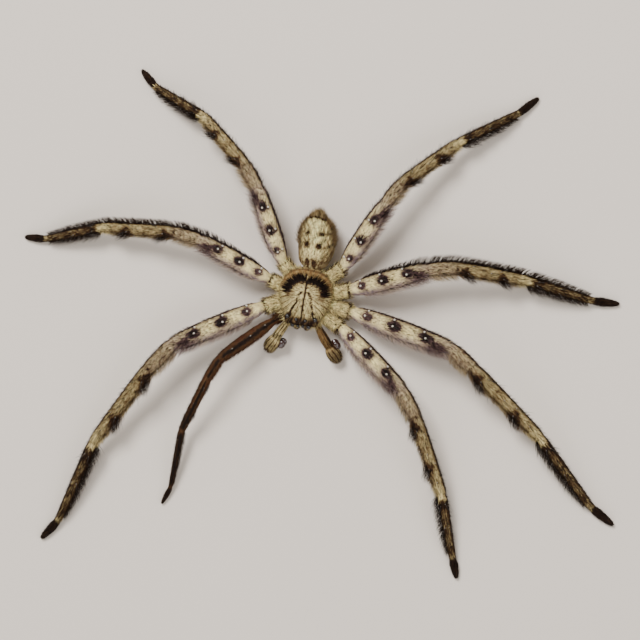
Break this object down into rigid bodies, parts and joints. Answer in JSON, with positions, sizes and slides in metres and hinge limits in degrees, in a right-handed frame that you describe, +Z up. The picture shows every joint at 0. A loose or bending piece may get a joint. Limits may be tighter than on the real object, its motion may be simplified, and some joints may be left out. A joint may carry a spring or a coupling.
{
  "type": "huntsman spider",
  "caption": "Life-size still model of a flat huntsman spider with banded, bristly legs spread wide, mottled cream and dark brown.",
  "frame": {"origin": "on the floor, under the middle of the box round the whole spider", "axes": "+Z up, the head points along -Y and the spider's left side is +X"},
  "size_m": [0.1037, 0.0848, 0.0082],
  "materials": {
    "body_fur": "cream silky hair with brown and black marks, matte",
    "leg_fur": "grey cream hair with dark spots and bands, matte",
    "brown_fur": "dark olive brown hair with pale streaks, matte",
    "red_brown_fur": "short reddish brown hair, matte",
    "tan_fur": "orange tan hair, matte",
    "horn": "glossy black-brown horn",
    "eye": "glossy black lens"
  },
  "bodies": {
    "root": {"carapace": "body_fur", "sternum": "body_fur", "abdomen": "body_fur", "spinnerets": "brown_fur", "chelicera_left": "brown_fur", "fang_left": "horn", "palp_left_arm": "tan_fur", "palp_left_tip": "brown_fur", "eye_front_middle_left": "eye", "eye_front_side_left": "eye", "eye_rear_middle_left": "eye", "eye_rear_side_left": "eye", "chelicera_right": "brown_fur", "fang_right": "horn", "palp_right_arm": "body_fur", "palp_right_tip": "brown_fur", "eye_front_middle_right": "eye", "eye_front_side_right": "eye", "eye_rear_middle_right": "eye", "eye_rear_side_right": "eye", "leg_left_1_coxa": "body_fur", "leg_left_1_femur": "leg_fur", "leg_left_1_tibia": "leg_fur", "leg_left_1_metatarsus": "brown_fur", "leg_left_1_tarsus": "brown_fur", "leg_left_2_coxa": "body_fur", "leg_left_2_femur": "leg_fur", "leg_left_2_tibia": "leg_fur", "leg_left_2_metatarsus": "brown_fur", "leg_left_2_tarsus": "brown_fur", "leg_left_3_coxa": "body_fur", "leg_left_3_femur": "leg_fur", "leg_left_3_tibia": "leg_fur", "leg_left_3_metatarsus": "brown_fur", "leg_left_3_tarsus": "brown_fur", "leg_left_4_coxa": "body_fur", "leg_left_4_femur": "leg_fur", "leg_left_4_tibia": "leg_fur", "leg_left_4_metatarsus": "brown_fur", "leg_left_4_tarsus": "brown_fur", "leg_right_1_coxa": "red_brown_fur", "leg_right_1_femur": "red_brown_fur", "leg_right_1_tibia": "red_brown_fur", "leg_right_1_metatarsus": "red_brown_fur", "leg_right_1_tarsus": "red_brown_fur", "leg_right_2_coxa": "body_fur", "leg_right_2_femur": "leg_fur", "leg_right_2_tibia": "leg_fur", "leg_right_2_metatarsus": "brown_fur", "leg_right_2_tarsus": "brown_fur", "leg_right_3_coxa": "body_fur", "leg_right_3_femur": "leg_fur", "leg_right_3_tibia": "leg_fur", "leg_right_3_metatarsus": "brown_fur", "leg_right_3_tarsus": "brown_fur", "leg_right_4_coxa": "body_fur", "leg_right_4_femur": "leg_fur", "leg_right_4_tibia": "leg_fur", "leg_right_4_metatarsus": "brown_fur", "leg_right_4_tarsus": "brown_fur"}
  },
  "joints": []
}
